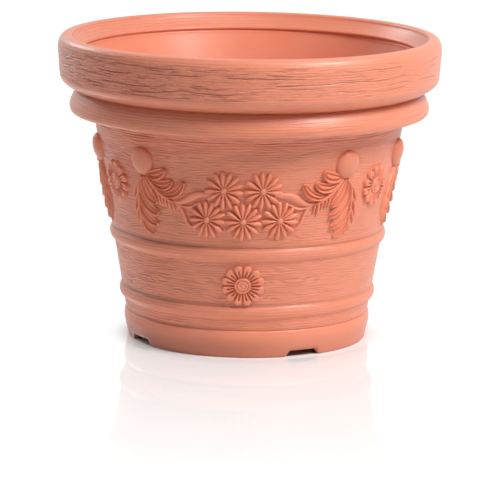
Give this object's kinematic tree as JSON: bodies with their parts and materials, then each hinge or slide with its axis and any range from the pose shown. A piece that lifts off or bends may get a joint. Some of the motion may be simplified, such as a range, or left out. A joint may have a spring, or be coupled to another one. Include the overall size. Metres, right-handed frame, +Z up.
{
  "type": "flower pot",
  "caption": "Round resin planter with a rolled rim, flower festoons in relief, an inner liner and push-in drain plugs",
  "frame": {"origin": "on the ground under the middle of the pot", "axes": "+Z up along the axis of the pot, -Y towards the middle of a festoon, +X to the right as that festoon is seen from outside"},
  "size_m": [0.5, 0.5, 0.397],
  "materials": {
    "shell": "satin terracotta with fine horizontal streaks",
    "liner": "smooth satin terracotta",
    "ornament": "smooth satin terracotta",
    "plug": "matte dark brown"
  },
  "bodies": {
    "pot": {"outer_shell": "shell", "inner_liner": "liner", "bouquet_1": "ornament", "bouquet_2": "ornament", "bouquet_3": "ornament", "swag_leaf_left_1": "ornament", "swag_leaf_left_2": "ornament", "swag_leaf_left_3": "ornament", "swag_leaf_right_1": "ornament", "swag_leaf_right_2": "ornament", "swag_leaf_right_3": "ornament", "knob_left_1": "ornament", "knob_left_2": "ornament", "knob_left_3": "ornament", "knob_right_1": "ornament", "knob_right_2": "ornament", "knob_right_3": "ornament", "hanging_leaf_left_1": "ornament", "hanging_leaf_left_2": "ornament", "hanging_leaf_left_3": "ornament", "hanging_leaf_right_1": "ornament", "hanging_leaf_right_2": "ornament", "hanging_leaf_right_3": "ornament", "rosette_1": "ornament", "rosette_2": "ornament", "rosette_3": "ornament", "gap_daisy_1": "ornament", "gap_daisy_2": "ornament", "gap_daisy_3": "ornament"},
    "drain_plug_1": {"drain_plug_1": "plug"},
    "drain_plug_2": {"drain_plug_2": "plug"},
    "drain_plug_3": {"drain_plug_3": "plug"},
    "drain_plug_4": {"drain_plug_4": "plug"}
  },
  "joints": [
    {"name": "drain_plug_1_pull", "type": "slide", "parent": "pot", "child": "drain_plug_1", "axis": [0, 0, 1], "range_m": [0, 0.04]},
    {"name": "drain_plug_2_pull", "type": "slide", "parent": "pot", "child": "drain_plug_2", "axis": [0, 0, 1], "range_m": [0, 0.04]},
    {"name": "drain_plug_3_pull", "type": "slide", "parent": "pot", "child": "drain_plug_3", "axis": [0, 0, 1], "range_m": [0, 0.04]},
    {"name": "drain_plug_4_pull", "type": "slide", "parent": "pot", "child": "drain_plug_4", "axis": [0, 0, 1], "range_m": [0, 0.04]}
  ]
}
